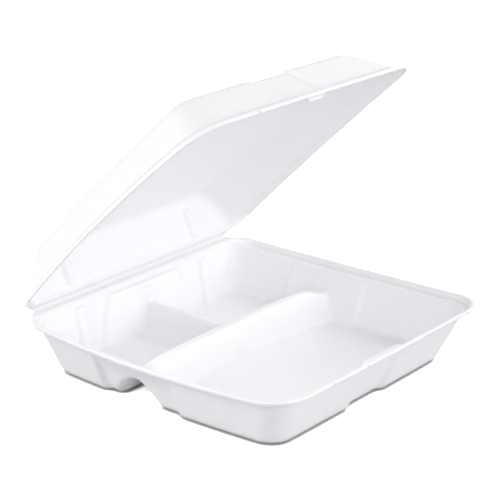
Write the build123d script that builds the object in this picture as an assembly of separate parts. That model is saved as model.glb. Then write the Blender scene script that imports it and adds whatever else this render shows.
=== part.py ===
from build123d import *
import os
from math import cos, radians, sin, sqrt

# Foam clamshell food container with three compartments, its lid half open.
# Millimetres. +X runs along the hinge, -Y is the front, +Z is up.
# The origin is on the ground, midway between the hinge axis and the front edge.

# Overall size
shell_width = 235.0
shell_depth = 237.0
base_height = 43.0
lid_height = 35.5
lid_open_angle = 43.5

# Foam sheet, and the same sheet measured level through a sloping wall
foam_thickness = 2.4
wall_thickness = 2.6

# Rim section: a thick rolled lip, a short step down and a level ledge
lip_width = 3.6
lip_thickness = 3.2
step_drop = 4.0
ledge_width = 5.6

# Plan outline of the rim
side_bow = 6.0
front_bow = 1.2
rim_dip = 3.5
rim_corner_radius = 27.0
step_corner_radius = 24.0
hinge_cut_across = 13.0
hinge_cut_along = 16.0
hinge_cut_radius = 7.0

# Hinge fold and the air between the two halves
hinge_flange_width = 9.0
hinge_clearance = 0.3
rim_clearance = 0.4

# Outer foot of each wall, measured inward from the rim's outer edge
base_side_inset = 22.9
base_front_inset = 24.1
base_hinge_inset = 14.5
lid_side_inset = 29.8
lid_front_inset = 27.2
lid_hinge_inset = 19.0

# Rounding of the walls in plan and of the floor in section
foot_corner_radius = 13.0
ledge_corner_radius = 21.0
hinge_corner_radius = 12.0
floor_radius = 3.6
lid_floor_radius = 5.0

# Panels pressed inward in the middle of the walls
panel_depth = 3.6
panel_slant = 6.0
panel_growth = 1.4
side_panel_length = 72.0
side_panel_y = 17.5
front_panel_length = 45.0
hinge_panel_top_length = 78.0
hinge_panel_foot_length = 106.0

# Upright ribs pressed into the hinge walls
rib_offset = 67.0
rib_width = 8.4
rib_depth = 2.6
rib_slant = 2.8
lid_rib_foot = 10.0

# Long divider, parallel to the hinge and bowed towards it
ridge_height = 27.0
ridge_y = 17.5
ridge_flat = 2.4
ridge_radius = 2.8
ridge_bow = 3.6
divider_front_foot_y = 2.5
divider_front_foot_bow = 11.5
divider_rear_foot_y = 40.6
front_pocket_corner_radius = 9.0
rear_pocket_corner_radius = 13.0

# Short divider between the two rear compartments, a little lower
cross_ridge_height = 24.0
cross_foot_half_width = 12.5
cross_corner_radius = 8.0

# Front closure: a lug inside the lid's lip snaps behind the base's lip, over slots in its ledge
closure_pitch = 62.0
middle_slot_length = 19.0
outer_slot_length = 25.0
slot_width = 3.4
slot_inset = 4.9
closure_clearance = 0.6
lug_reach = 1.2
lug_taper = 2.0

# Small cuts through the front lips, as distances along the hinge
lip_cut_width = 1.2
lip_cut_depth = 2.0
base_cut_places = (-67.0, -31.0, 38.5)
lid_cut_places = (-62.0,)

# Values worked out from the sizes above
half_width = shell_width / 2
half_depth = shell_depth / 2
hinge_y = half_depth
step_inset = lip_width - foam_thickness
wall_top_inset = lip_width + ledge_width - wall_thickness
flange_wall_inset = hinge_flange_width - wall_thickness
ridge_half_width = ridge_flat / 2 + ridge_radius
lug_thickness = slot_width - 2 * closure_clearance
reach = 2 * shell_depth


def bowed(distance, half_length, bow):
    """Rise of a shallow circular arc above its chord at a distance from its middle."""
    radius = (half_length**2 + bow**2) / (2 * bow)
    return sqrt(radius**2 - distance**2) - radius + bow


def side_x(y, inset):
    """Half width of the bowed outline at the distance y from the middle."""
    return half_width - inset + bowed(y, half_depth, side_bow)


def front_y(x, inset):
    """Front of the bowed outline at the distance x from the middle."""
    return -half_depth + inset - bowed(x, half_width, front_bow)


def outline(corners, bends):
    """Level face through the corners (x, y, radius); bends gives points on arcs after a corner."""
    edges = []
    for index, (x, y, _) in enumerate(corners):
        ahead = corners[(index + 1) % len(corners)][:2]
        if index in bends:
            edges.append(ThreePointArc((x, y), bends[index], ahead).edge())
        else:
            edges.append(Line((x, y), ahead).edge())
    face = Face(Wire(edges))
    for x, y, radius in corners:
        if radius > 0:
            corner = face.vertices().sort_by_distance((x, y, 0))[0]
            face = face.fillet_2d(radius, [corner])
    return face


def side_bend(y_first, y_last, inset):
    """Point on the bowed side halfway between two distances from the middle."""
    y = (y_first + y_last) / 2
    return (side_x(y, inset), y)


def rim_outline(inset, corner_radius):
    """Outline of the rim, with its hinge corners cut back."""
    front = front_y(half_width, inset)
    back = hinge_y - hinge_clearance
    cut_y = back - hinge_cut_along
    cut_x = side_x(back, inset) - hinge_cut_across
    right = [
        (side_x(front, inset), front, corner_radius),
        (side_x(cut_y, inset), cut_y, hinge_cut_radius),
        (cut_x, back, hinge_cut_radius),
    ]
    left = [(-x, y, radius) for x, y, radius in reversed(right)]
    bend_x, bend_y = side_bend(front, cut_y, inset)
    bends = {0: (bend_x, bend_y), 4: (-bend_x, bend_y), 5: (0, front_y(0, inset))}
    return outline(right + left, bends)


def wall_outline(side_inset, front_inset, hinge_inset, corner_radius, growth):
    """Outline of the whole shell at one height."""
    front = front_y(half_width, front_inset)
    back = hinge_y - hinge_inset
    right = [
        (side_x(front, side_inset), front, corner_radius + growth),
        (side_x(back, side_inset), back, hinge_corner_radius + growth),
    ]
    left = [(-x, y, radius) for x, y, radius in reversed(right)]
    bend_x, bend_y = side_bend(front, back, side_inset)
    bends = {0: (bend_x, bend_y), 2: (-bend_x, bend_y), 3: (0, front_y(0, front_inset))}
    return outline(right + left, bends)


def front_pocket_outline(side_inset, front_inset, divider_y, bow, corner_radius, growth):
    """Outline of the wide front compartment at one height."""
    front = front_y(half_width, front_inset)
    right = [
        (side_x(front, side_inset), front, corner_radius + growth),
        (side_x(divider_y, side_inset), divider_y, front_pocket_corner_radius + growth),
    ]
    left = [(-x, y, radius) for x, y, radius in reversed(right)]
    bend_x, bend_y = side_bend(front, divider_y, side_inset)
    bends = {
        0: (bend_x, bend_y),
        1: (0, divider_y + bow),
        2: (-bend_x, bend_y),
        3: (0, front_y(0, front_inset)),
    }
    return outline(right + left, bends)


def rear_outline(side_inset, hinge_inset, divider_y, bow, growth):
    """Outline of both rear compartments together, above the short divider."""
    back = hinge_y - hinge_inset
    right = [
        (side_x(divider_y, side_inset), divider_y, rear_pocket_corner_radius + growth),
        (side_x(back, side_inset), back, hinge_corner_radius + growth),
    ]
    left = [(-x, y, radius) for x, y, radius in reversed(right)]
    bend_x, bend_y = side_bend(divider_y, back, side_inset)
    bends = {0: (bend_x, bend_y), 2: (-bend_x, bend_y), 3: (0, divider_y + bow)}
    return outline(right + left, bends)


def rear_pocket_outline(side_inset, hinge_inset, divider_y, bow, cross_x, growth):
    """Outline of the rear compartment on the +X side at one height."""
    back = hinge_y - hinge_inset
    corners = [
        (cross_x, divider_y + bow, cross_corner_radius + growth),
        (side_x(divider_y, side_inset), divider_y, rear_pocket_corner_radius + growth),
        (side_x(back, side_inset), back, hinge_corner_radius + growth),
        (cross_x, back, cross_corner_radius + growth),
    ]
    return outline(corners, {1: side_bend(divider_y, back, side_inset)})


def stacked(faces):
    """Solid through level faces given as (height, face)."""
    wires = [(Pos(0, 0, height) * face).outer_wire() for height, face in faces]
    return Solid.make_loft(wires, ruled=True)


def line_at(height, top_height, top_inset, foot_inset):
    """Inset of a straight sloping wall at one height."""
    return top_inset + (top_height - height) * (foot_inset - top_inset) / top_height


def foot_steps(radius):
    """Heights above a floor and insets that follow a quarter circle."""
    angles = [radians(a) for a in (0, 30, 60, 90)]
    return [(radius * (1 - cos(a)), radius * (1 - sin(a))) for a in angles]


def under_arc(height, dip):
    """Everything below a rim line that dips in the middle of the sides."""
    below = [(reach, height), (reach, -reach), (-reach, -reach), (-reach, height), (-half_depth, height)]
    edges = [
        Polyline(below),
        ThreePointArc((-half_depth, height), (0, height - dip), (half_depth, height)),
        Line((half_depth, height), (reach, height)),
    ]
    profile = Plane.YZ * Face(Wire([edge for line in edges for edge in line.edges()]))
    return extrude(profile, amount=reach, both=True)


def pressed_block(foot, top, depth, slant):
    """Block that presses a wall inward; foot and top are (height, wall line, length)."""
    faces = []
    for height, wall_line, length in (foot, top):
        outer = wall_line + wall_top_inset + depth
        points = [
            (-length / 2, outer),
            (-length / 2, wall_line),
            (-length / 2 + slant, wall_line - depth),
            (length / 2 - slant, wall_line - depth),
            (length / 2, wall_line),
            (length / 2, outer),
        ]
        faces.append((height, outline([(x, y, 0) for x, y in points], {})))
    return stacked(faces)


class Tray:
    """One half of the shell, open upward, standing on its floor; its ribs start at rib_foot."""

    def __init__(self, height, side_foot, front_foot, hinge_foot, rib_foot):
        self.height = height
        self.side_foot = side_foot
        self.front_foot = front_foot
        self.hinge_foot = hinge_foot
        self.rib_foot = rib_foot

    def side(self, height):
        """Inset of a side wall's outside at one height."""
        return line_at(height, self.height - step_drop, wall_top_inset, self.side_foot)

    def front(self, height):
        """Inset of the front wall's outside at one height."""
        return line_at(height, self.height - step_drop, wall_top_inset, self.front_foot)

    def hinge(self, height):
        """Inset of the hinge wall's outside at one height."""
        return line_at(height, self.height, flange_wall_inset, self.hinge_foot)

    def corner(self, height):
        """Radius of the front corners at one height."""
        return line_at(height, self.height, ledge_corner_radius, foot_corner_radius)

    def walls(self, levels, thickness):
        """Filled sloping shell through levels given as (height, extra inset)."""
        faces = []
        for height, extra in levels:
            inward = extra + thickness
            walls = (self.side(height) + inward, self.front(height) + inward, self.hinge(height) + inward)
            radius = self.corner(height) - extra
            faces.append((height, wall_outline(*walls, radius, wall_thickness - thickness)))
        return stacked(faces)

    def pressings(self, side_length, thickness):
        """Blocks that press panels and ribs into the walls."""
        growth = panel_growth * thickness / wall_thickness
        low = -foam_thickness
        high = self.height

        def front_end(height):
            return (height, -front_y(0, self.front(height) + thickness), front_panel_length + growth)

        def hinge_end(height, length):
            return (height, hinge_y - self.hinge(height) - thickness, length + growth)

        def side_end(height):
            return (height, side_x(side_panel_y, self.side(height) + thickness), side_length + growth)

        front_panel = pressed_block(front_end(low), front_end(high), panel_depth, panel_slant)
        foot = hinge_end(low, hinge_panel_foot_length)
        blocks = [Rot(0, 0, 180) * front_panel]
        blocks.append(pressed_block(foot, hinge_end(high, hinge_panel_top_length), panel_depth, panel_slant))
        rib_length = rib_width - panel_growth
        web = foam_thickness * (1 - thickness / wall_thickness)
        foot = hinge_end(self.rib_foot + web, rib_length)
        rib = pressed_block(foot, hinge_end(high, rib_length), rib_depth, rib_slant)
        for side in (-1, 1):
            blocks.append(Pos(side * rib_offset, 0, 0) * rib)
            if side_length > 0:
                panel = pressed_block(side_end(low), side_end(high), panel_depth, panel_slant)
                blocks.append(Pos(0, side_panel_y, 0) * Rot(0, 0, -90 * side) * panel)
        return blocks

    def rim(self):
        """Filled lip and step, following the dip of the sides."""
        lip = extrude(rim_outline(0, rim_corner_radius), amount=self.height)
        lip = lip & under_arc(self.height, rim_dip)
        lip = lip - under_arc(self.height - lip_thickness, rim_dip)
        step = extrude(rim_outline(step_inset, step_corner_radius), amount=self.height - lip_thickness / 2)
        step = step & under_arc(self.height - lip_thickness / 2, rim_dip)
        step = step - under_arc(self.height - step_drop - foam_thickness, rim_dip)
        flange = Pos(0, hinge_y, self.height / 2) * Box(reach, 2 * flange_wall_inset, self.height * 2)
        return lip + (step - flange)

    def opening(self):
        """Space inside the lip, above the ledge."""
        radius = step_corner_radius - foam_thickness
        face = wall_outline(lip_width, lip_width, hinge_flange_width, radius, 0)
        space = extrude(face, amount=self.height * 2)
        return space - under_arc(self.height - step_drop, rim_dip)


base = Tray(base_height, base_side_inset, base_front_inset, base_hinge_inset, -2 * foam_thickness)


def divider_lines(height):
    """Front and rear line of the long divider at one height, each as (distance, bow)."""
    share = height / (ridge_height - ridge_radius)
    front = divider_front_foot_y + share * (ridge_y - ridge_half_width - divider_front_foot_y)
    rear = divider_rear_foot_y + share * (ridge_y + ridge_half_width - divider_rear_foot_y)
    front_bow = divider_front_foot_bow + share * (ridge_bow - divider_front_foot_bow)
    rear_bow = share * ridge_bow
    return (front, front_bow), (rear, rear_bow)


def ridge_steps(ridge, radius):
    """Heights below a ridge and widenings that follow a quarter circle."""
    angles = [radians(a) for a in (0, 30, 60, 90)]
    return [(ridge - radius * (1 - sin(a)), radius * (1 - cos(a))) for a in angles]


def front_pocket(levels, thickness):
    """Front compartment through levels given as (height, extra inset, extra width at the ridge)."""
    faces = []
    growth = wall_thickness - thickness
    for height, extra, widening in levels:
        side = base.side(height) + extra + thickness
        front = base.front(height) + extra + thickness
        line, bow = divider_lines(min(height, ridge_height - ridge_radius))[0]
        divider_y = line - extra + widening + growth
        radius = base.corner(height) - extra
        faces.append((height, front_pocket_outline(side, front, divider_y, bow, radius, growth)))
    return stacked(faces)


def rear_pocket(levels, thickness):
    """Rear compartment on the +X side, levels as for the front one but widened at the short divider."""
    faces = []
    growth = wall_thickness - thickness
    for height, extra, widening in levels:
        side = base.side(height) + extra + thickness
        hinge = base.hinge(height) + extra + thickness
        line, bow = divider_lines(height)[1]
        divider_y = line + extra - growth
        share = min(height / (cross_ridge_height - ridge_radius), 1)
        cross_x = cross_foot_half_width + share * (ridge_half_width - cross_foot_half_width)
        cross_x = cross_x + extra - widening - growth
        faces.append((height, rear_pocket_outline(side, hinge, divider_y, bow, cross_x, growth)))
    return stacked(faces)


def rear_space(levels, thickness):
    """Both rear compartments above the short divider, levels given as (height, extra width)."""
    faces = []
    growth = wall_thickness - thickness
    for height, widening in levels:
        side = base.side(height) + thickness
        hinge = base.hinge(height) + thickness
        line, bow = divider_lines(min(height, ridge_height - ridge_radius))[1]
        faces.append((height, rear_outline(side, hinge, line - widening - growth, bow, growth)))
    return stacked(faces)


def base_outside():
    """Filled outer form of the base below its rim, with the hollows under the dividers."""
    foot = [(height, extra, 0) for height, extra in foot_steps(floor_radius + foam_thickness)]
    ridge_under = ridge_height - foam_thickness
    cross_under = cross_ridge_height - foam_thickness
    right = rear_pocket(foot + [(cross_under, 0, 0)], 0)
    body = base.walls([(ridge_under, 0), (base_height - lip_thickness / 2, 0)], 0)
    body = body + front_pocket(foot + [(ridge_under, 0, 0)], 0)
    body = body + right + mirror(right, about=Plane.YZ)
    return body + rear_space([(cross_under, 0), (ridge_under, 0)], 0)


def base_inside():
    """Space inside the base below its rim."""
    thickness = wall_thickness
    foot = [(foam_thickness + height, extra, 0) for height, extra in foot_steps(floor_radius)]
    front_ridge = [(height, 0, wider) for height, wider in ridge_steps(ridge_height, ridge_radius)]
    cross_ridge = [(height, 0, wider) for height, wider in ridge_steps(cross_ridge_height, ridge_radius)]
    right = rear_pocket(foot + cross_ridge, thickness)
    space = base.walls([(ridge_height, 0), (base_height + 1, 0)], thickness)
    space = space + front_pocket(foot + front_ridge, thickness)
    space = space + right + mirror(right, about=Plane.YZ)
    rear_levels = [(cross_ridge_height, 0)] + ridge_steps(ridge_height, ridge_radius)
    return space + rear_space(rear_levels, thickness)


def joined(tray, outside, inside, side_length):
    """Shell with its panels, rim and ledge from the filled outer and inner forms."""
    body = outside
    for block in tray.pressings(side_length, 0):
        body = body - block
    space = inside
    for block in tray.pressings(side_length, wall_thickness):
        space = space - block
    return body + tray.rim() - space - tray.opening()


def lip_cuts(places, height):
    """Slivers that are cut out of a front lip at the given places."""
    sliver = Box(lip_cut_width, 2 * lip_cut_depth, 3 * lip_thickness)
    return [Pos(x, front_y(x, 0), height) * sliver for x in places]


def base_tray():
    """Base with the slots in its front ledge and the cuts in its front lip."""
    body = joined(base, base_outside(), base_inside(), side_panel_length)
    ledge = base_height - step_drop
    slots = [(-closure_pitch, outer_slot_length), (0, middle_slot_length), (closure_pitch, outer_slot_length)]
    for x, length in slots:
        slot = Box(length, slot_width, 4 * foam_thickness)
        body = body - Pos(x, front_y(x, slot_inset), ledge - foam_thickness / 2) * slot
    for cut in lip_cuts(base_cut_places, base_height):
        body = body - cut
    return body


def lid_lug():
    """Tapered lug that stands up from the ledge inside the lid's front lip."""
    foot = lid_height - step_drop - foam_thickness / 2
    tip = lid_height + lug_reach
    half = middle_slot_length / 2 - closure_clearance
    half_tip = half - lug_taper
    corners = [(-half, foot), (half, foot), (half, lid_height), (half_tip, tip), (-half_tip, tip)]
    face = Plane.XZ * Face(Wire(Polyline(corners, close=True).edges()))
    lug = extrude(face, amount=lug_thickness / 2, both=True)
    return Pos(0, front_y(0, slot_inset), 0) * lug


def lid_tray():
    """Lid as an open tray standing on its top face; it is turned over, so its left is right here."""
    lid = Tray(lid_height, lid_side_inset, lid_front_inset, lid_hinge_inset, lid_rib_foot)
    top = lid_height - lip_thickness / 2
    outer_steps = foot_steps(lid_floor_radius + foam_thickness)
    inner_steps = [(foam_thickness + height, extra) for height, extra in foot_steps(lid_floor_radius)]
    outside = lid.walls(outer_steps + [(top, 0)], 0)
    inside = lid.walls(inner_steps + [(lid_height + 1, 0)], wall_thickness)
    body = joined(lid, outside, inside, 0) + lid_lug()
    for cut in lip_cuts([-x for x in lid_cut_places], lid_height):
        body = body - cut
    return body


def lid_in_place():
    """Lid turned over onto the base, then swung open about the hinge."""
    closed = Pos(0, 0, base_height + rim_clearance + lid_height) * Rot(0, 180, 0) * lid_tray()
    hinge_line = Axis((0, hinge_y, base_height + rim_clearance / 2), (-1, 0, 0))
    return closed.rotate(hinge_line, lid_open_angle)


os.makedirs("parts", exist_ok=True)
export_step(base_tray(), "parts/base_tray.step")
export_step(lid_in_place(), "parts/lid.step")
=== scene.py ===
"""Looks of a foam clamshell container: softened foam shells, the hinge fold and a studio."""

from __future__ import annotations

import logging
import math
from dataclasses import dataclass
from enum import Enum

import bmesh
import bpy
import numpy as np
from mathutils import Matrix, Vector

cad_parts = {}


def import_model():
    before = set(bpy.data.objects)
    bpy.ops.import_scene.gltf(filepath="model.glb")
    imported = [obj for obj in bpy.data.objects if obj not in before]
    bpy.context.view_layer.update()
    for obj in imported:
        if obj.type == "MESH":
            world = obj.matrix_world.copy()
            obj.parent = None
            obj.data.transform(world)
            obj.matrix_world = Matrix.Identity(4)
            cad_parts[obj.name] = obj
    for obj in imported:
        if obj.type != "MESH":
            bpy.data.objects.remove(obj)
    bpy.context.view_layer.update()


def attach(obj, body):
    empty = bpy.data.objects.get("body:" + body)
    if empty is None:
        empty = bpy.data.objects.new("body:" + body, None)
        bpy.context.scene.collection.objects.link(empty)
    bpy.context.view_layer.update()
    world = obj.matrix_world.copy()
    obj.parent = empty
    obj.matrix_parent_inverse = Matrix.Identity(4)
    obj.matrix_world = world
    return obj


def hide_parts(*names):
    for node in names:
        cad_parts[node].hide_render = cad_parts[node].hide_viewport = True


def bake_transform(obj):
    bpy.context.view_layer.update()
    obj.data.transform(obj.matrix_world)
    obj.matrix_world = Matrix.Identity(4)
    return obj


LOG = logging.getLogger("container")
MM = 0.001
TINY = 1e-6
# Share of the way to its vertex at which a cubic curve makes a quarter circle
QUARTER = 0.5523
Array = np.ndarray
Object = bpy.types.Object
Socket = bpy.types.NodeSocket
Material = bpy.types.Material
Pair = tuple[float, float]
Triple = tuple[float, float, float]
Colour = tuple[float, float, float, float]


# Small curve helpers


def smooth_step(value: Array | float, low: float, high: float) -> Array:
    """Ease from 0 below low to 1 above high."""
    share = np.clip((value - low) / (high - low), 0.0, 1.0)
    return share * share * (3.0 - 2.0 * share)


def soft_max(first: Array, second: Array, blend: Array | float) -> Array:
    """Greater of two heights, rounded over a blend range."""
    gap = np.clip(1.0 - np.abs(first - second) / blend, 0.0, None)
    return np.maximum(first, second) + 0.25 * blend * gap**2


def soft_min(first: Array, second: Array, blend: Array | float) -> Array:
    """Lesser of two heights, rounded over a blend range."""
    return -soft_max(-first, -second, blend)


def bowed(distance: Array, half_length: float, bow: float) -> Array:
    """Rise of a shallow arc above its chord at a distance from its middle."""
    return bow * (1.0 - (distance / half_length) ** 2)


def plateau(distance: Array, half_length: Array | float, slant: float) -> Array:
    """One inside half_length less the slant, easing to nothing at half_length."""
    return 1.0 - smooth_step(np.abs(distance), half_length - slant, half_length)


@dataclass(frozen=True)
class Spacing:
    """How closely grid lines run, in millimetres: fine at the marks (middle, half length)."""

    coarse: float
    fine: float
    reach: float
    marks: tuple[Pair, ...] = ()
    ease: float = 6.0
    samples: int = 4001

    def stations(self) -> Array:
        """Places of the lines in rising order, as shares of the reach from -1 to 1."""
        dense = np.linspace(-self.reach, self.reach, self.samples)
        plain, crowded = 1.0 / self.coarse, 1.0 / self.fine
        density = np.full_like(dense, plain)
        for middle, half_length in self.marks:
            outer = half_length + self.ease * self.fine
            near = 1.0 - smooth_step(np.abs(dense - middle), half_length, outer)
            density = np.maximum(density, plain + near * (crowded - plain))
        total = np.concatenate([[0.0], np.cumsum(0.5 * (density[1:] + density[:-1]) * np.diff(dense))])
        count = int(math.ceil(total[-1]))
        return np.interp(np.linspace(0.0, total[-1], count + 1), total, dense) / self.reach


@dataclass(frozen=True)
class Corner:
    """One rounded corner of a section: cut length either side and points on it."""

    cut: float
    points: int = 4


# Rows of (inset, height) and how their corners are rounded
Rim = tuple[list[list[float]], list[Corner]]


def rounded_section(vertices: Array, corners: list[Corner], fillings: tuple[int, ...]) -> Array:
    """Points along a section with its inner corners rounded.

    Args:
        vertices: Section corners as (inset, height) rows.
        corners: Rounding of each corner but the first and the last.
        fillings: Extra points on each straight stretch.

    Returns:
        Rows of (inset, height).
    """
    points = [vertices[0]]
    triples = zip(vertices, vertices[1:], [*vertices[2:], vertices[0]])
    for (back, here, ahead), corner, filling in zip(triples, [*corners, Corner(0.0, 0)], fillings):
        start = points[-1]
        entry = towards(here, back, corner.cut)
        leave = towards(here, ahead, corner.cut)
        points += [start + (entry - start) * step / (filling + 1) for step in range(1, filling + 2)]
        for step in range(1, corner.points + 1):
            share = step / corner.points
            points.append((1 - share) ** 2 * entry + 2 * share * (1 - share) * here + share**2 * leave)
    return np.array(points)


def towards(start: Array, goal: Array, distance: float) -> Array:
    """The point at a distance from start on the way to the goal."""
    way = goal - start
    return start + way / np.linalg.norm(way) * distance


class Face(Enum):
    """Which skin of the foam sheet a surface is."""

    INNER = "inner"
    OUTER = "outer"


@dataclass(frozen=True)
class PanelForm:
    """Panels and ribs pressed into the walls, in millimetres."""

    depth: float = 3.6
    side_half: float = 36.0
    side_y: float = 17.5
    side_slant: float = 5.0
    side_fade: float = 0.8
    fade: Pair = (17.0, 36.0)
    side_from: float = 0.6
    front_half: float = 22.5
    front_slant: float = 6.0
    front_from: float = 0.62
    hinge_depth: float = 3.6
    hinge_top: float = 39.0
    hinge_foot: float = 53.0
    hinge_slant: float = 6.0
    hinge_from: float = 0.6
    hinge_reach: float = 60.0
    rib_offset: float = 67.0
    rib_half: float = 4.2
    rib_depth: float = 2.6
    rib_slant: float = 3.0
    rib_foot: float = 0.0
    rib_below: float = 2.0
    rib_above: float = 3.0
    growth: float = 0.7

    def hinge_press(self, x: Array, up: Array, growth: float) -> Array:
        """How far the panel is pressed into the hinge wall.

        Args:
            x: Places along the hinge.
            up: Heights as shares of the tray's height.
            growth: How much wider the panel is on this skin.

        Returns:
            Depth in millimetres.
        """
        half = self.hinge_foot + np.clip(up, 0.0, 1.0) * (self.hinge_top - self.hinge_foot)
        return self.hinge_depth * plateau(x, half + growth, self.hinge_slant)


@dataclass(frozen=True)
class DividerForm:
    """The long bowed divider and the short one behind it, in millimetres."""

    height: float = 27.0
    middle_y: float = 17.5
    bow: float = 3.6
    bow_reach: float = 95.0
    half: float = 4.0
    extra: float = 2.4
    tangent_drop: float = 2.8
    droop: float = 5.0
    droop_x: Pair = (78.0, 99.0)
    front_foot: float = 2.5
    front_bow: float = 11.5
    rear_foot: float = 40.6
    short_height: float = 24.0
    short_foot: float = 12.5
    short_end_slope: float = 3.0
    inner_blend: float = 4.0
    outer_blend: float = 3.0
    join_round: float = 6.0
    foot_round: float = 9.0
    pocket_round: float = 36.0
    crest_round: float = 13.0
    crest_from: float = 0.1
    crest_to: float = 0.9
    hinge_round: float = 27.0
    headroom: float = 2.0
    past_wall: float = 1.0

    def raised(self, x: Array, y: Array, face: Face, shift: float, drop: float) -> Array:
        """Height of both dividers, without the floor.

        Args:
            x: Places along the hinge.
            y: Places from front to back.
            face: Which skin of the sheet.
            shift: How far this skin lies inside the flanks.
            drop: How far this skin lies below the crest.

        Returns:
            Heights, negative away from the dividers.
        """
        inner = face is Face.INNER
        blend = self.inner_blend if inner else self.outer_blend
        tangent = self.height - self.tangent_drop
        across = np.clip(np.abs(x) / self.bow_reach, 0.0, 1.0)
        crest_y = self.middle_y + self.bow * (1.0 - across**2)
        front_foot = self.front_foot + self.front_bow * (1.0 - across**2)
        front = (y - front_foot - shift) * tangent / (crest_y - self.half - front_foot)
        behind = crest_y + self.half + (self.extra if inner else 0.0)
        rear = (self.rear_foot - shift - y) * tangent / (self.rear_foot - behind)
        droop = self.droop * smooth_step(np.abs(x), *self.droop_x)
        long_one = soft_min(soft_min(front, rear, blend), self.height - drop - droop, blend)
        steepness = (self.short_height - self.tangent_drop) / (self.short_foot - self.half)
        flank = (self.short_foot - shift - np.abs(x)) * steepness
        short_one = soft_min(flank, np.full_like(x, self.short_height - drop), blend)
        end = self.short_height - drop + self.short_end_slope * (y - crest_y)
        return soft_max(long_one, np.minimum(short_one, end), self.join_round)


@dataclass(frozen=True)
class ShellForm:
    """Sizes of one half of the container as an open tray, in millimetres."""

    height: float
    side_foot: float
    front_foot: float
    hinge_foot: float
    foot_cut: float
    panels: PanelForm = PanelForm()
    divider: DividerForm | None = None
    half_width: float = 117.5
    half_depth: float = 118.5
    side_bow: float = 6.0
    front_bow: float = 1.2
    dip: float = 3.5
    dip_ease: float = 4.0
    dip_from: float = 70.0
    dip_over: float = 20.0
    thickness: float = 2.4
    wall: float = 2.6
    lip_width: float = 3.6
    lip_thickness: float = 3.2
    lip_flat: float = 3.3
    lip_lean: float = 1.3
    lip_cut: float = 1.1
    step_lean: float = 1.2
    step_drop: float = 4.0
    step_cuts: tuple[float, ...] = (0.8, 0.7, 1.4)
    ledge: float = 5.6
    flange: float = 9.0
    hinge_gap: float = 0.3
    hinge_soft: float = 2.2
    hinge_cuts: tuple[float, ...] = (0.6, 0.35)
    hinge_top_cut: float = 0.4
    hinge_drops: tuple[float, ...] = (0.4, 2.2)
    outer_cuts: tuple[float, ...] = (0.3, 0.3, 1.0)
    outer_lip_cut: float = 0.2
    outer_foot_extra: float = 1.5
    lip_radius: float = 27.0
    ledge_radius: float = 21.0
    foot_radius: float = 13.0
    least_radius: float = 6.0
    hinge_radius: float = 12.0
    hinge_lip_radius: float = 18.0
    hinge_fullness: float = 0.24
    hinge_turn_from: float = 0.15
    tighten_from: float = 1.0
    floor_margin: float = 12.0
    wall_from: float = 3.0
    wall_to: float = 0.6
    foot_ease: float = 4.0
    foot_points: int = 6
    fillings: tuple[int, ...] = (1, 2, 2, 4, 16, 3)

    @property
    def rim_width(self) -> float:
        """From the lip's outer edge to the top of the wall."""
        return self.lip_width + self.ledge

    def offset(self, face: Face) -> Pair:
        """How far a skin lies outside the inner one, sideways and down."""
        return (0.0, 0.0) if face is Face.INNER else (self.wall, self.thickness)

    def wall_slope(self, foot: float) -> float:
        """How far a side or front wall leans in per millimetre of depth."""
        return (foot - (self.rim_width - self.wall)) / (self.height - self.step_drop)

    def hinge_slope(self) -> float:
        """How far the hinge wall leans in per millimetre of depth."""
        return (self.hinge_foot - (self.flange - self.wall)) / self.height

    def section(self, foot: float, hinge: bool, face: Face) -> Array:
        """Points of one wall, as many for each wall of a skin.

        Args:
            foot: Inset of the wall's foot on the outside.
            hinge: Whether this is the wall at the hinge.
            face: Which skin of the sheet.

        Returns:
            Rows of (inset, height) from the lip's outer edge to the floor.
        """
        lean = self.hinge_slope() if hinge else self.wall_slope(foot)
        foot_cut = self.foot_cut
        if face is Face.OUTER:
            rim, cuts = self.outer_rim(hinge, lean)
            foot_cut += self.outer_foot_extra
        elif hinge:
            rim, cuts = self.hinge_rim(lean)
        else:
            rim, cuts = self.stepped_rim()
        shift, drop = self.offset(face)
        floor = self.thickness - drop
        foot_here = foot + (self.wall - shift) - lean * floor
        low = [[foot_here, floor], [foot_here + self.floor_margin, floor]]
        cuts.append(Corner(foot_cut, self.foot_points))
        return rounded_section(np.array(rim + low, float), cuts, self.fillings)

    def lip(self) -> list[list[float]]:
        """The lip's outer edge as (inset, height) rows."""
        return [[self.lip_lean, self.height - self.lip_thickness], [0.0, self.height]]

    def stepped_rim(self) -> Rim:
        """Inside of the lip, the step and the ledge."""
        ledge = self.height - self.step_drop
        step = [[self.lip_flat, self.height], [self.lip_width + self.step_lean, ledge]]
        rows = self.lip() + step + [[self.rim_width, ledge]]
        return rows, [Corner(cut) for cut in (self.lip_cut, *self.step_cuts)]

    def hinge_rim(self, lean: float) -> Rim:
        """Inside of the flat rim at the hinge and the round top of its wall."""
        soft = self.hinge_soft
        rows = self.lip() + [[self.flange - soft, self.height]]
        for drop in self.hinge_drops:
            rows.append([self.flange + lean * (soft + drop), self.height - soft - drop])
        cuts = (self.lip_cut, *(share * soft for share in self.hinge_cuts), self.hinge_top_cut)
        return rows, [Corner(cut) for cut in cuts]

    def outer_rim(self, hinge: bool, lean: float) -> Rim:
        """Outside of the rim, straight from the lip to the top of the wall."""
        if hinge:
            wall_top = self.flange - self.wall + lean * (self.step_drop + self.thickness)
        else:
            wall_top = self.rim_width - self.wall + lean * self.thickness
        goal = [wall_top, self.height - self.step_drop - self.thickness]
        rows = np.linspace(self.lip()[0], goal, len(self.outer_cuts) + 2).tolist()
        return rows, [Corner(self.outer_lip_cut, 2), *(Corner(cut) for cut in self.outer_cuts)]

    def side_x(self, y: Array, inset: float) -> Array:
        """Half width of the outline."""
        return self.half_width - inset + bowed(y, self.half_depth, self.side_bow)

    def front_y(self, x: Array, inset: float) -> Array:
        """Front edge of the outline."""
        return -self.half_depth + inset - bowed(x, self.half_width, self.front_bow)


# Meshes and objects


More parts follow.
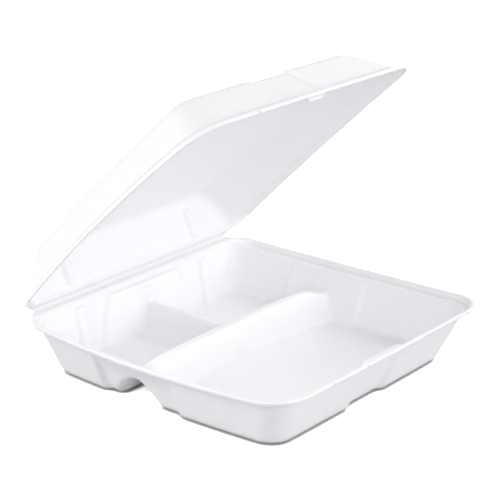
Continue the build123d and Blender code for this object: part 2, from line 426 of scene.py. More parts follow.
def scene_object(name: str, data: bpy.types.ID | None) -> Object:
    """New object with the given data, linked to the scene."""
    obj = bpy.data.objects.new(name, data)
    bpy.context.scene.collection.objects.link(obj)
    return obj


def quad_object(name: str, points: Array, corners: Array) -> Object:
    """New smooth object made of quads.

    Args:
        name: Name of the object and its mesh.
        points: Vertices in millimetres, as rows of (x, y, z).
        corners: Vertex numbers, four for each quad.

    Returns:
        The object, in metres.
    """
    data = bpy.data.meshes.new(name)
    data.vertices.add(len(points))
    data.vertices.foreach_set("co", (points.astype(np.float32) * MM).ravel())
    data.loops.add(corners.size)
    data.loops.foreach_set("vertex_index", corners.astype(np.int32).ravel())
    data.polygons.add(len(corners))
    data.polygons.foreach_set("loop_start", np.arange(0, corners.size, 4, dtype=np.int32))
    data.polygons.foreach_set("use_smooth", np.ones(len(corners), dtype=bool))
    data.update(calc_edges=True)
    data.validate()
    return scene_object(name, data)


def cells(index: Array) -> Array:
    """Quads between neighbours of a table of vertex numbers."""
    quads = [index[:-1, :-1], index[:-1, 1:], index[1:, 1:], index[1:, :-1]]
    return np.stack(quads, -1).reshape(-1, 4)


# The foam shells


@dataclass(frozen=True)
class Grid:
    """Where the grid lines of a shell run, as shares of each straight side."""

    across: Array
    along: Array
    corner_points: int = 19


@dataclass(frozen=True)
class Shell:
    """One half of the container, built as two skins joined round the lip."""

    form: ShellForm
    grid: Grid

    def ring(self, insets: Triple, radius: float, hinge_radius: float, fullness: float) -> Array:
        """Closed outline at one section point.

        Args:
            insets: Inset of the side, front and hinge stretches.
            radius: Reach of the front corners.
            hinge_radius: Reach of the hinge corners.
            fullness: Fullness of the hinge corners, lower for a flatter cut.

        Returns:
            Rows of (x, y).
        """
        form, grid = self.form, self.grid
        side, front, hinge = insets
        low_y = float(form.front_y(form.half_width, front)) + radius
        back = form.half_depth - form.hinge_gap - hinge
        high_y = back - hinge_radius
        y = 0.5 * (low_y + high_y) + 0.5 * (high_y - low_y) * grid.along
        right = np.stack([form.side_x(y, side), y], 1)
        x = (float(form.side_x(low_y, side)) - radius) * grid.across
        bottom = np.stack([x, form.front_y(x, front)], 1)
        x = (float(form.side_x(high_y, side)) - hinge_radius) * grid.across
        top = np.stack([x, np.full_like(x, back)], 1)
        right_front = self.bend(bottom[-1], np.array([right[0, 0], bottom[-1, 1]]), right[0], QUARTER)
        right_back = self.bend(right[-1], np.array([right[-1, 0], back]), top[-1], fullness)
        return self.closed((bottom, right_front, right, right_back, top[::-1]), np.array([-1.0, 1.0]))

    def closed(self, stretches: tuple[Array, ...], flip: Array | float) -> Array:
        """Rows round a whole ring, from the front left corner's middle.

        Args:
            stretches: Rows of the front, a front corner, a side, a hinge corner and the hinge.
            flip: Factor that turns a row of one side into one of the other.

        Returns:
            All rows, counter-clockwise.
        """
        front, front_turn, side, back_turn, back = stretches
        left_front, left, left_back = ((part * flip)[::-1] for part in (front_turn, side, back_turn))
        half = self.grid.corner_points // 2
        start = [left_front[half:-1], front, front_turn[1:-1], side, back_turn[1:-1]]
        return np.concatenate([*start, back, left_back[1:-1], left, left_front[1:half]])

    def bend(self, start: Array, vertex: Array, end: Array, fullness: float) -> Array:
        """Corner curve from start to end, with tangents towards its vertex."""
        share = np.linspace(0.0, 1.0, self.grid.corner_points)[:, None]
        first = start + fullness * (vertex - start)
        second = end + fullness * (vertex - end)
        rest = 1.0 - share
        return rest**3 * start + 3 * rest**2 * share * first + 3 * rest * share**2 * second + share**3 * end

    def stretch_share(self, hinge: bool) -> Array:
        """How far each point of a ring belongs to the hinge stretch, or else to the front."""
        start = self.form.hinge_turn_from if hinge else 0.0
        turn = smooth_step(np.linspace(0.0, 1.0, self.grid.corner_points), start, 1.0 - start)
        across, side = np.ones_like(self.grid.across), np.zeros_like(self.grid.along)
        if hinge:
            return self.closed((0.0 * across, 0.0 * turn, side, turn, across), 1.0)
        return self.closed((across, 1.0 - turn, side, 0.0 * turn, 0.0 * across), 1.0)

    def corner_reach(self, side: Array, floor_inset: float, face: Face) -> Triple:
        """How a ring turns at one section point.

        Args:
            side: Inset and height of the point.
            floor_inset: Inset of the section's last point.
            face: Which skin of the sheet.

        Returns:
            Reach of the front corners, and reach and fullness of the hinge corners.
        """
        form = self.form
        shift, drop = form.offset(face)
        depth = (form.height - side[1]) / form.height
        outside = np.clip(1.0 - side[0] / form.rim_width, 0.0, 1.0)
        radius = form.ledge_radius + depth * (form.foot_radius - form.ledge_radius) + shift
        radius = radius + outside * (form.lip_radius - radius)
        if side[1] <= form.thickness - drop + TINY:
            radius = max(radius - (side[0] - floor_inset + form.floor_margin), form.least_radius)
        inward = float(smooth_step(side[0], form.tighten_from, form.rim_width))
        hinge_radius = form.hinge_lip_radius + inward * (form.hinge_radius + shift - form.hinge_lip_radius)
        return radius, hinge_radius, form.hinge_fullness + inward * (QUARTER - form.hinge_fullness)

    def skin(self, face: Face) -> tuple[Array, Array]:
        """Rings and inner field of one skin.

        Args:
            face: Which skin to build.

        Returns:
            Rings as (section point, ring point, xyz) and the field as (row, column, xyz).
        """
        form = self.form
        sides = form.section(form.side_foot, False, face)
        fronts = form.section(form.front_foot, False, face)
        hinges = form.section(form.hinge_foot, True, face)
        front_share, hinge_share = self.stretch_share(False), self.stretch_share(True)
        rings = []
        for side, front, hinge in zip(sides, fronts, hinges):
            plan = self.ring((side[0], front[0], hinge[0]), *self.corner_reach(side, sides[-1][0], face))
            height = side[1] + front_share * (front[1] - side[1]) + hinge_share * (hinge[1] - side[1])
            rings.append(np.column_stack([plan, height]))
        rings = np.array(rings)
        self.sag(rings, sides, face)
        self.press(rings, sides, face)
        middle = self.fill(rings[-1])
        middle[..., 2] = rings[-1][:, 2].min()
        if form.divider:
            inside = sides[:, 0] > form.rim_width - form.divider.past_wall
            rings[inside, :, 2] = self.divided_height(rings[inside], face)
            middle[..., 2] = self.divided_height(middle, face)
        return rings, middle

    def wall_part(self, section: Array, face: Face) -> Array:
        """Share of each section point that belongs to the wall, easing out over the floor."""
        form = self.form
        start = form.rim_width - form.offset(face)[0]
        on_wall = smooth_step(section[:, 0], start - form.wall_from, start - form.wall_to)
        foot = section[-1, 0] - form.floor_margin
        return on_wall * (1.0 - smooth_step(section[:, 0], foot + form.foot_ease, section[-1, 0]))

    def sag(self, rings: Array, section: Array, face: Face) -> None:
        """Lower the rim in the middle of the sides, sliding the wall's top down its slope."""
        form = self.form
        shift, drop = form.offset(face)
        floor = section[-1, 1]
        top = form.height - form.step_drop - drop
        share = np.clip((rings[..., 2] - floor) / (top - floor), 0.0, 1.0)
        lowered = bowed(rings[..., 1], form.half_depth, form.dip).clip(0.0) * share
        on_wall = (rings[..., 2] <= top + TINY) & (share > 0.0)
        start = form.rim_width - shift
        wall = smooth_step(section[:, 0], start - form.dip_ease, start)[:, None]
        side = np.clip((np.abs(rings[..., 0]) - form.dip_from) / form.dip_over, 0.0, 1.0)
        slide = form.wall_slope(form.side_foot) * lowered * wall * side * on_wall
        rings[..., 0] -= np.sign(rings[..., 0]) * slide
        rings[..., 2] -= lowered

    def press(self, rings: Array, section: Array, face: Face) -> None:
        """Press the panels and ribs into the walls."""
        form, panels = self.form, self.form.panels
        weight = self.wall_part(section, face)[:, None]
        x, y, z = rings[..., 0], rings[..., 1], rings[..., 2]
        growth = panels.growth if face is Face.INNER else 0.0
        at_front = y < -panels.front_from * form.half_depth
        at_hinge = y > panels.hinge_from * form.half_depth
        front = panels.depth * plateau(x, panels.front_half + growth, panels.front_slant) * at_front
        hinge = panels.hinge_press(x, z / form.height, growth) * at_hinge * (np.abs(x) < panels.hinge_reach)
        rib = plateau(np.abs(x) - panels.rib_offset, panels.rib_half + growth, panels.rib_slant) * at_hinge
        rib = rib * smooth_step(z, panels.rib_foot - panels.rib_below, panels.rib_foot + panels.rib_above)
        rings[..., 1] = y + weight * (front - hinge - panels.rib_depth * rib)
        if form.divider:
            beside = plateau(y - panels.side_y, panels.side_half + growth, panels.side_slant)
            faded = 1.0 - panels.side_fade * smooth_step(z, *panels.fade)
            beside = beside * (np.abs(x) > panels.side_from * form.half_width) * faded
            rings[..., 0] = x - np.sign(x) * weight * panels.depth * beside

    def edges(self, loop: Array) -> tuple[Array, Array, Array, Array]:
        """Front, right, back and left edge of the field inside a ring."""
        half = self.grid.corner_points // 2
        columns, rows = len(self.grid.across) + 2 * half, len(self.grid.along) + 2 * half
        right = loop[columns - 1 : columns - 1 + rows]
        back = loop[columns + rows - 2 : 2 * columns + rows - 2][::-1]
        left = np.concatenate([loop[2 * columns + rows - 3 :], loop[:1]])[::-1]
        return loop[:columns], right, back, left

    def fill(self, loop: Array) -> Array:
        """Rows and columns of points inside a ring, their edges on the ring."""
        front, right, back, left = self.edges(loop)
        u = self.spread(front[:, 0])[None, :, None]
        v = self.spread(right[:, 1])[:, None, None]
        edge = (1 - v) * front[None] + v * back[None] + (1 - u) * left[:, None] + u * right[:, None]
        near = (1 - v) * ((1 - u) * front[0] + u * front[-1])
        return edge - near - v * ((1 - u) * back[0] + u * back[-1])

    @staticmethod
    def spread(values: Array) -> Array:
        """Values scaled to run from 0 to 1."""
        return (values - values[0]) / (values[-1] - values[0])

    def divided_height(self, points: Array, face: Face) -> Array:
        """Heights with the dividers and their rounded corners against the walls.

        Args:
            points: Places on the tray's skin, as (x, y, z) along the last axis.
            face: Which skin of the sheet.

        Returns:
            New heights of the points.
        """
        form, divider = self.form, self.form.divider
        x, y, height = points[..., 0], points[..., 1], points[..., 2]
        shift, drop = form.offset(face)
        floor = form.thickness - drop
        raised = divider.raised(x, y, face, shift, drop)
        slope = form.wall_slope(form.side_foot)
        foot = form.side_foot + (form.wall - shift) - slope * floor
        wall = floor + (np.abs(x) - form.side_x(y, foot)) / slope
        share = smooth_step(raised, divider.crest_from * divider.height, divider.crest_to * divider.height)
        blend = divider.pocket_round + share * (divider.crest_round - divider.pocket_round)
        corner = soft_max(wall, raised, blend)
        if face is Face.INNER:
            behind = self.hinge_wall(x, y, height)
            corner = np.maximum(corner, soft_max(behind, raised, divider.hinge_round))
        near = np.maximum(height, soft_max(raised, np.full_like(raised, floor), divider.foot_round))
        limit = form.height - form.step_drop - form.thickness - divider.headroom
        return np.where(height < limit, np.maximum(near, np.minimum(corner, limit)), height)

    def hinge_wall(self, x: Array, y: Array, height: Array) -> Array:
        """Height of the pressed hinge wall's inner face above each place.

        Args:
            x: Places along the hinge.
            y: Places from front to back.
            height: Heights at which the panel's length is taken.

        Returns:
            Heights, negative in front of the wall.
        """
        form = self.form
        lean = form.hinge_slope()
        foot = form.hinge_foot + form.wall - lean * form.thickness
        pressed = form.panels.hinge_press(x, height / form.height, form.panels.growth)
        wall_y = form.half_depth - form.hinge_gap - foot - pressed
        return form.thickness - wall_y / lean + y * (1.0 / lean)

    def mesh(self, name: str) -> Object:
        """Both skins as one closed object."""
        points: list[Array] = []
        corners: list[Array] = []
        count = 0
        for face in Face:
            rings, middle = self.skin(face)
            inner = face is Face.INNER
            fresh = rings if inner else rings[1:]
            index = count + np.arange(fresh.shape[0] * fresh.shape[1]).reshape(fresh.shape[:2])
            if not inner:
                index = np.vstack([np.arange(rings.shape[1]), index])
            count += fresh.shape[0] * fresh.shape[1]
            field_index = self.field_index(index[-1], middle.shape[:2], count)
            core = middle[1:-1, 1:-1].reshape(-1, 3)
            count += len(core)
            points += [fresh.reshape(-1, 3), core]
            walls = cells(np.hstack([index, index[:, :1]]))
            for quads in (walls, cells(field_index)):
                corners.append(quads if inner else quads[:, ::-1])
        return quad_object(name, np.concatenate(points), np.concatenate(corners))

    def field_index(self, ring: Array, shape: tuple[int, int], first: int) -> Array:
        """Vertex numbers of the inner field, its edges shared with the last ring.

        Args:
            ring: Vertex numbers of the last ring.
            shape: Rows and columns of the field.
            first: Number of the field's first own vertex.

        Returns:
            Table of vertex numbers.
        """
        rows, columns = shape
        index = np.zeros(shape, int)
        index[1:-1, 1:-1] = first + np.arange((rows - 2) * (columns - 2)).reshape(rows - 2, columns - 2)
        index[0], index[:, -1], index[-1], index[:, 0] = self.edges(ring)
        return index


# Small blocks, cuts and placement


@dataclass(frozen=True)
class Block:
    """A block with level faces, in millimetres."""

    middle: Triple
    size: Triple


@dataclass(frozen=True)
class Sliver:
    """A small cut into the edge of the front lip, in millimetres."""

    width: float = 1.2
    depth: float = 2.0

    def block(self, form: ShellForm, x: float) -> Block:
        """What one cut takes away at a place along the lip."""
        size = (self.width, 2 * self.depth, 3 * form.lip_thickness)
        return Block((x, float(form.front_y(x, 0.0)), form.height), size)


def block_object(name: str, blocks: list[Block]) -> Object:
    """All blocks as one object in metres."""
    shape = bmesh.new()
    for block in blocks:
        scale = Matrix.Diagonal((*(Vector(block.size) * MM), 1.0))
        bmesh.ops.create_cube(shape, size=1.0, matrix=Matrix.Translation(Vector(block.middle) * MM) @ scale)
    data = bpy.data.meshes.new(name)
    shape.to_mesh(data)
    shape.free()
    return scene_object(name, data)


def carve(obj: Object, blocks: list[Block]) -> None:
    """Cut the blocks out of an object and keep the result as its mesh.

    Args:
        obj: Closed object to cut.
        blocks: What is taken away.
    """
    cutter = block_object("cutter", blocks)
    modifier = obj.modifiers.new("cuts", "BOOLEAN")
    modifier.operation = "DIFFERENCE"
    modifier.solver = "FAST"
    modifier.object = cutter
    graph = bpy.context.evaluated_depsgraph_get()
    carved = bpy.data.meshes.new_from_object(obj.evaluated_get(graph))
    obj.modifiers.clear()
    plain = obj.data
    obj.data = carved
    bpy.data.meshes.remove(plain)
    bpy.data.objects.remove(cutter, do_unlink=True)


def paint(obj: Object, finish: Material) -> None:
    """Give an object one material."""
    obj.data.materials.clear()
    obj.data.materials.append(finish)


@dataclass(frozen=True)
class Hinge:
    """Where the lid turns, and how far it stands open."""

    base_height: float = 43.0
    lid_height: float = 35.5
    rim_gap: float = 0.4
    half_depth: float = 118.5
    open_angle: float = 43.5

    def swing(self) -> Matrix:
        """From the closed lid to the open lid."""
        point = Vector((0.0, self.half_depth, self.base_height + self.rim_gap / 2)) * MM
        turn = Matrix.Rotation(math.radians(self.open_angle), 4, Vector((-1, 0, 0)))
        return Matrix.Translation(point) @ turn @ Matrix.Translation(-point)

    def placement(self) -> Matrix:
        """From the lid as a tray standing on its top to the open lid."""
        turned = Matrix.Rotation(math.pi, 4, "Y")
        height = self.base_height + self.rim_gap + self.lid_height
        return self.swing() @ Matrix.Translation((0, 0, height * MM)) @ turned

    def opened(self, point: Pair) -> Pair:
        """Where a point (y, z) of the closed lid is when the lid is open, in millimetres."""
        moved = self.swing() @ (Vector((0.0, *point)) * MM)
        return moved.y / MM, moved.z / MM


# Shader maths


class Value:
    """A shader socket that carries a number, with maths written as expressions."""

    def __init__(self, tree: bpy.types.NodeTree, socket: Socket) -> None:
        """Wrap a socket of a node tree."""
        self.tree = tree
        self.socket = socket

    def _maths(self, operation: str, first: Value | float, second: Value | float) -> Value:
        """Add one Math node for two values or numbers."""
        node = self.tree.nodes.new("ShaderNodeMath")
        node.operation = operation
        for place, item in zip(node.inputs, (first, second)):
            if isinstance(item, Value):
                self.tree.links.new(item.socket, place)
            else:
                place.default_value = item
        return Value(self.tree, node.outputs[0])

    def __add__(self, other: Value | float) -> Value:
        """Sum."""
        return self._maths("ADD", self, other)

    __radd__ = __add__

    def __mul__(self, other: Value | float) -> Value:
        """Product."""
        return self._maths("MULTIPLY", self, other)

    __rmul__ = __mul__

    def __sub__(self, other: Value | float) -> Value:
        """Difference."""
        return self._maths("SUBTRACT", self, other)

    def __rsub__(self, other: Value | float) -> Value:
        """Difference, the other way round."""
        return self._maths("SUBTRACT", other, self)


class ShaderTree:
    """The nodes of a material or of the world."""

    def __init__(self, owner: Material | bpy.types.World) -> None:
        """Start with an empty tree."""
        owner.use_nodes = True
        self.tree = owner.node_tree
        self.tree.nodes.clear()

    def node(self, kind: str, settings: dict | None = None, inputs: dict | None = None) -> bpy.types.Node:
        """Add a shader node.

        Args:
            kind: The node's type.
            settings: Attributes that are set first.
            inputs: Values or links of its sockets, by name or number.

        Returns:
            The node.
        """
        node = self.tree.nodes.new(kind)
        for key, value in (settings or {}).items():
            setattr(node, key, value)
        for key, value in (inputs or {}).items():
            socket = node.inputs[key]
            if isinstance(value, Value):
                self.tree.links.new(value.socket, socket)
            elif isinstance(value, Socket):
                self.tree.links.new(value, socket)
            else:
                socket.default_value = value
        return node

    def texture(self, kind: str, output: str, **inputs: object) -> Value:
        """One output of a new texture node, as a value."""
        return Value(self.tree, self.node(kind, None, inputs).outputs[output])

    def camera_split(self, others: Socket, camera: Socket) -> Socket:
        """Shader that looks one way to the camera and another to all other rays."""
        ray = self.node("ShaderNodeLightPath").outputs["Is Camera Ray"]
        return self.node("ShaderNodeMixShader", None, {0: ray, 1: others, 2: camera}).outputs[0]


@dataclass(frozen=True)
class FoamFinish:
    """White expanded foam: fine closed cells, clouds and grain (scale, detail) and a satin skin."""

    name: str = "white foam"
    light: Colour = (0.94, 0.943, 0.95, 1.0)
    shade: Colour = (0.915, 0.92, 0.93, 1.0)
    cell_scale: float = 900.0
    cloud: Pair = (38.0, 3.0)
    grain: Pair = (420.0, 2.0)
    tones: Triple = (0.55, 0.35, 0.2)
    heights: Triple = (2.2, 0.7, 0.5)
    roughness: float = 0.52
    roughness_change: float = 0.12
    specular: float = 0.32
    bump_strength: float = 0.22
    bump_depth: float = 0.0006
    glow_share: float = 0.8
    glow_depth: float = 0.0020

    def build(self) -> Material:
        """Make the material."""
        material = bpy.data.materials.new(self.name)
        tree = ShaderTree(material)
        place = tree.node("ShaderNodeTexCoord").outputs["Object"]
        cells = tree.texture("ShaderNodeTexVoronoi", "Distance", Vector=place, Scale=self.cell_scale)
        clouds, grain = (
            tree.texture("ShaderNodeTexNoise", "Fac", Vector=place, Scale=scale, Detail=detail)
            for scale, detail in (self.cloud, self.grain)
        )
        tone, relief = (
            clouds * by_cloud + grain * by_grain + cells * by_cell
            for by_cloud, by_grain, by_cell in (self.tones, self.heights)
        )
        ends = {"Factor": tone, "A": self.light, "B": self.shade}
        colour = tree.node("ShaderNodeMix", {"data_type": "RGBA"}, ends)
        bumps = {"Strength": self.bump_strength, "Distance": self.bump_depth, "Height": relief}
        shader = tree.node(
            "ShaderNodeBsdfPrincipled",
            None,
            {
                "Base Color": colour.outputs["Result"],
                "Roughness": self.roughness + (grain - 0.5) * self.roughness_change,
                "Specular IOR Level": self.specular,
                "Subsurface Weight": self.glow_share,
                "Subsurface Radius": (1.0, 1.0, 1.0),
                "Subsurface Scale": self.glow_depth,
                "Normal": tree.node("ShaderNodeBump", None, bumps).outputs[0],
            },
        )
        tree.node("ShaderNodeOutputMaterial", None, {"Surface": shader.outputs[0]})
        return material


@dataclass(frozen=True)
class FloorWithPaintedShadow:
    """Pale studio floor, white to the camera where nothing stands close above it; near the container a
    painted contact shadow darkens it.
    """

    name: str = "studio floor"
    tint: Colour = (0.55, 0.55, 0.56, 1.0)
    # How far the painted contact shadow reaches from the container, in metres
    painted_shadow_reach: float = 0.0036
    samples: int = 8
    covered: float = 0.30
    open: float = 0.95
    painted_shadow_darkest: float = 0.15
    brightest: float = 0.98
    layers: int = 3
    glow: float = 0.35

    def build(self) -> Material:
        """Make the material."""
        material = bpy.data.materials.new(self.name)
        tree = ShaderTree(material)
        # Painted contact shadow: ambient occlusion darkens the floor's colour near the container, down to
        # the darkest tone
        sky = tree.node("ShaderNodeAmbientOcclusion", {"samples": self.samples}, {"Distance": self.painted_shadow_reach})
        limits = {"From Min": self.covered, "From Max": self.open}
        tones = {"Value": sky.outputs["AO"], "To Min": self.painted_shadow_darkest, "To Max": self.brightest, **limits}
        clear = tree.node("ShaderNodeMapRange", {"interpolation_type": "SMOOTHSTEP"}, tones).outputs[0]
        parts = {part: clear for part in ("Red", "Green", "Blue")}
        white = tree.node("ShaderNodeCombineColor", None, parts)
        layer = tree.node("ShaderNodeBsdfDiffuse", None, {"Color": white.outputs[0]}).outputs[0]
        glow = tree.node("ShaderNodeEmission", None, {"Color": white.outputs[0], "Strength": self.glow})
        # To the camera the floor shows the diffuse layers and the glow, both darkened by the painted
        # contact shadow
        seen = layer
        for more in [layer] * (self.layers - 1) + [glow.outputs[0]]:
            seen = tree.node("ShaderNodeAddShader", None, {0: seen, 1: more}).outputs[0]
        unseen = tree.node("ShaderNodeBsdfDiffuse", None, {"Color": self.tint}).outputs[0]
        tree.node("ShaderNodeOutputMaterial", None, {"Surface": tree.camera_split(unseen, seen)})
        return material


# The container

# Middle and half length of the stretches where panels and ribs end, on both sides of the middle
PANEL_MARKS = tuple(
    (side * place, half)
    for place, half in ((PanelForm.front_half, 7.0), (PanelForm.rib_offset, 5.0), (48.0, 8.0))
    for side in (-1, 1)
)
# The same for the dividers and for both ends of the side panels, from front to back
DIVIDER_MARKS = ((20.0, 34.0), (-18.5, 6.0), (53.5, 6.0))


@dataclass(frozen=True)
class Base:
    """The divided base tray."""

    finish: Material
    form: ShellForm = ShellForm(
        height=43.0, side_foot=22.9, front_foot=24.1, hinge_foot=14.5, foot_cut=4.6, divider=DividerForm()
    )
    across: Spacing = Spacing(3.4, 1.35, 88.0, ((0.0, 14.0), *PANEL_MARKS))
    along: Spacing = Spacing(3.4, 1.05, 92.0, DIVIDER_MARKS)
    slot_pitch: float = 62.0
    middle_slot: float = 19.0
    outer_slot: float = 25.0
    slot_width: float = 3.4
    slot_inset: float = 4.9
    sliver: Sliver = Sliver()
    sliver_places: tuple[float, ...] = (-67.0, -31.0, 38.5)

    def cuts(self) -> list[Block]:
        """Slots in the front ledge and slivers out of the front lip."""
        form = self.form
        slot_z = form.height - form.step_drop - form.thickness / 2
        blocks = []
        for place, length in zip((-1, 0, 1), (self.outer_slot, self.middle_slot, self.outer_slot)):
            x = place * self.slot_pitch
            y = float(form.front_y(x, self.slot_inset))
            blocks.append(Block((x, y, slot_z), (length, self.slot_width, 4 * form.thickness)))
        return blocks + [self.sliver.block(form, x) for x in self.sliver_places]

    def build(self) -> None:
        """Build the softened base in place of its plain solid."""
        obj = Shell(self.form, Grid(self.across.stations(), self.along.stations())).mesh("base_shell")
        carve(obj, self.cuts())
        paint(obj, self.finish)
        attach(obj, "base")
        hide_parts("base_tray")
        LOG.info("base shell: %d faces", len(obj.data.polygons))


@dataclass(frozen=True)
class Lid:
    """The domed lid, built as a tray and turned over onto its hinge."""

    finish: Material
    hinge: Hinge
    form: ShellForm = ShellForm(
        height=35.5,
        side_foot=29.8,
        front_foot=27.2,
        hinge_foot=19.0,
        foot_cut=4.4,
        lip_flat=1.4,
        ledge_radius=17.0,
        foot_radius=7.5,
        hinge_radius=8.0,
        panels=PanelForm(front_slant=3.5, hinge_depth=1.4, hinge_slant=14.0, rib_foot=10.0),
    )
    across: Spacing = Spacing(3.2, 1.25, 86.0, PANEL_MARKS)
    along: Spacing = Spacing(3.2, 1.2, 92.0)
    sliver: Sliver = Sliver()
    sliver_place: float = 62.0
    lug_length: float = 17.8
    lug_thickness: float = 2.2
    lug_inset: float = 4.9
    lug_reach: float = 1.2
    lug_taper: float = 2.0
    lug_round: float = 0.5
    round_steps: int = 3

    def shell(self) -> Object:
        """The softened lid in place of its plain solid."""
        obj = Shell(self.form, Grid(self.across.stations(), self.along.stations())).mesh("lid_shell")
        carve(obj, [self.sliver.block(self.form, self.sliver_place)])
        return obj

    def lug(self) -> Object:
        """Tapered lug inside the front lip."""
        form = self.form
        y = float(form.front_y(0.0, self.lug_inset))
        foot = form.height - form.step_drop - form.thickness / 2
        half, thin = self.lug_length / 2, self.lug_thickness / 2
        levels = ((foot, half), (form.height, half), (form.height + self.lug_reach, half - self.lug_taper))
        shape = bmesh.new()
        rows = []
        for z, reach in levels:
            places = ((-reach, -thin), (reach, -thin), (reach, thin), (-reach, thin))
            rows.append([shape.verts.new(Vector((x, y + aside, z)) * MM) for x, aside in places])
        for low, high in zip(rows, rows[1:]):
            for place in range(4):
                ahead = (place + 1) % 4
                shape.faces.new((low[place], low[ahead], high[ahead], high[place]))
        shape.faces.new(rows[-1])
        shape.faces.new(rows[0][::-1])
        rounding = {"offset": self.lug_round * MM, "segments": self.round_steps, "profile": 0.5}
        bmesh.ops.bevel(shape, geom=list(shape.edges), affect="EDGES", **rounding)
        for face in shape.faces:
            face.smooth = True
        data = bpy.data.meshes.new("lid_lug")
        shape.to_mesh(data)
        shape.free()
        return scene_object("lid_lug", data)

    def build(self) -> None:
        """Build the lid and its lug and dress them."""
        pieces = [self.shell(), self.lug()]
        for obj in pieces:
            obj.data.transform(self.hinge.placement())
            paint(obj, self.finish)
            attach(obj, "lid")
            LOG.info("%s: %d faces", obj.name, len(obj.data.polygons))
        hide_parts("lid")


@dataclass(frozen=True)
class Fold:
    """The thin skin that joins base and lid where the sheet is folded, in millimetres."""

    finish: Material
    hinge: Hinge
    reach: float = 5.6
    lift: float = 0.05
    fill: float = 1.5
    thin: float = 1.6
    thick: float = 2.2
    half_length: float = 103.0
    end_slant: float = 0.75
    steps: int = 14
    columns: int = 60

    def profile(self) -> tuple[Array, Array]:
        """Inner curve and outer curve of the fold as rows of (y, z)."""
        hinge = self.hinge
        axis = Vector((hinge.half_depth, hinge.base_height + hinge.rim_gap / 2))
        start = Vector((hinge.half_depth - self.reach, hinge.base_height + self.lift))
        end = Vector(hinge.opened((start.x, hinge.base_height + hinge.rim_gap - self.lift)))
        half_angle = math.radians(hinge.open_angle / 2)
        control = axis + Vector((-math.cos(half_angle), math.sin(half_angle))) * self.fill
        share = np.linspace(0.0, 1.0, self.steps + 1)[:, None]
        rest = 1.0 - share
        inner = rest**2 * np.array(start) + 2 * rest * share * np.array(control) + share**2 * np.array(end)
        tangent = np.gradient(inner, axis=0)
        tangent = tangent / np.linalg.norm(tangent, axis=1, keepdims=True)
        normal = np.column_stack([tangent[:, 1], -tangent[:, 0]])
        depth = self.thin + (self.thick - self.thin) * (2 * share - 1) ** 2
        return inner, inner + normal * depth

    def build(self) -> None:
        """Build the fold as one fixed curved skin between base and lid, shaped for the lid's open angle."""
        inner, outer = self.profile()
        loop = np.concatenate([inner, outer[::-1]])
        travel = np.abs(np.linspace(-1.0, 1.0, self.steps + 1)) * self.reach
        width = self.half_length + self.end_slant * np.concatenate([travel, travel[::-1]])
        across = np.linspace(-1.0, 1.0, self.columns + 1)
        points = np.stack([np.column_stack([x * width, loop]) for x in across])
        index = np.arange(points.shape[0] * points.shape[1]).reshape(points.shape[:2])
        length = len(inner)
        near, far = ((row[:length], row[: length - 1 : -1]) for row in (index[0], index[-1]))
        skin = cells(np.hstack([index, index[:, :1]]))
        corners = np.concatenate([skin, cells(np.stack(near, 1)), cells(np.stack(far))])
        obj = quad_object("fold_skin", points.reshape(-1, 3), corners)
        paint(obj, self.finish)
        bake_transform(obj)
        LOG.info("fold skin: %d faces", len(obj.data.polygons))


# The studio


@dataclass(frozen=True)
class Lamp:
    """A soft square lamp aimed at the container: place and side in metres, power in watts."""

    name: str
    place: Triple
    side: float
    power: float
    aim: Triple = (0.0, 0.0, 0.05)

    def build(self) -> Object:
        """Hang the lamp."""
        data = bpy.data.lights.new(self.name, "AREA")
        data.shape = "SQUARE"
        data.size = self.side
        data.energy = self.power
        obj = scene_object(self.name, data)
        obj.location = self.place
        direction = Vector(self.aim) - Vector(self.place)
        obj.rotation_euler = direction.to_track_quat("-Z", "Y").to_euler()
        return obj


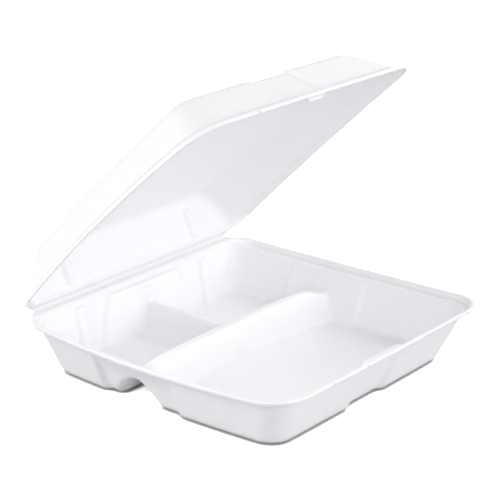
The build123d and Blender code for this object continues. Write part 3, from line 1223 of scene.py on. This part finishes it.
@dataclass(frozen=True)
class Studio:
    """Camera, lights and floor."""

    focal: float = 1660.5
    picture: float = 500.0
    centre_x: float = 246.38
    centre_y: float = 238.29
    camera_at: Triple = (-849.17, -683.45, 473.51)
    azimuth: float = 50.84
    elevation: float = -19.12
    sensor: float = 36.0
    nearest: float = 0.05
    floor_reach: float = 6.0
    floor_z: float = -0.0003
    sky: Colour = (0.92, 0.95, 1.0, 1.0)
    sky_strength: float = 0.3
    plain: Colour = (1.0, 1.0, 1.0, 1.0)
    lamps: tuple[Lamp, ...] = (
        Lamp("high front right lamp", (0.9, -1.2, 1.5), 1.2, 11.2),
        Lamp("left lamp", (-1.6, -0.6, 0.8), 1.4, 7.2),
        Lamp("high left lamp", (-1.5, 0.0, 1.6), 1.4, 3.6),
        Lamp("front lamp", (-0.3, -1.8, 0.5), 1.4, 11.5),
        Lamp("right lamp", (1.6, 0.2, 1.0), 1.4, 10.0),
        Lamp("low front right lamp", (1.1, -1.9, 0.45), 1.0, 10.5),
        Lamp("back left lamp", (-1.5, 1.5, 0.8), 1.2, 26.0),
    )

    def camera(self) -> Object:
        """Camera where the photographer stood."""
        data = bpy.data.cameras.new("camera")
        data.sensor_width = self.sensor
        data.lens = self.sensor * self.focal / self.picture
        data.shift_x = 0.5 - self.centre_x / self.picture
        data.shift_y = self.centre_y / self.picture - 0.5
        data.clip_start = self.nearest
        obj = scene_object("camera", data)
        obj.location = Vector(self.camera_at) * MM
        obj.rotation_euler = (math.radians(90.0 + self.elevation), 0.0, math.radians(-self.azimuth))
        bpy.context.scene.camera = obj
        return obj

    def floor(self) -> Object:
        """Wide floor under the container."""
        reach = self.floor_reach
        data = bpy.data.meshes.new("floor")
        corners = [(-reach, -reach, 0), (reach, -reach, 0), (reach, reach, 0), (-reach, reach, 0)]
        data.from_pydata(corners, [], [(0, 1, 2, 3)])
        obj = scene_object("floor", data)
        obj.location.z = self.floor_z
        paint(obj, FloorWithPaintedShadow().build())
        return obj

    def world(self) -> None:
        """Even sky, white to the camera."""
        world = bpy.data.worlds.new("studio")
        bpy.context.scene.world = world
        tree = ShaderTree(world)
        dim = tree.node("ShaderNodeBackground", None, {"Color": self.sky, "Strength": self.sky_strength})
        white = tree.node("ShaderNodeBackground", None, {"Color": self.plain, "Strength": 1.0})
        surface = tree.camera_split(dim.outputs[0], white.outputs[0])
        tree.node("ShaderNodeOutputWorld", None, {"Surface": surface})

    def build(self) -> None:
        """Set the studio up."""
        bpy.context.scene.view_settings.view_transform = "Standard"
        self.world()
        pieces = [self.camera(), self.floor(), *(lamp.build() for lamp in self.lamps)]
        LOG.info("studio ready")


def main() -> None:
    """Build the container and its studio."""
    logging.basicConfig(level=logging.INFO, format="%(name)s: %(message)s")
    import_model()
    foam = FoamFinish().build()
    hinge = Hinge()
    Base(foam).build()
    Lid(foam, hinge).build()
    Fold(foam, hinge).build()
    Studio().build()


if __name__ == "__main__":
    main()
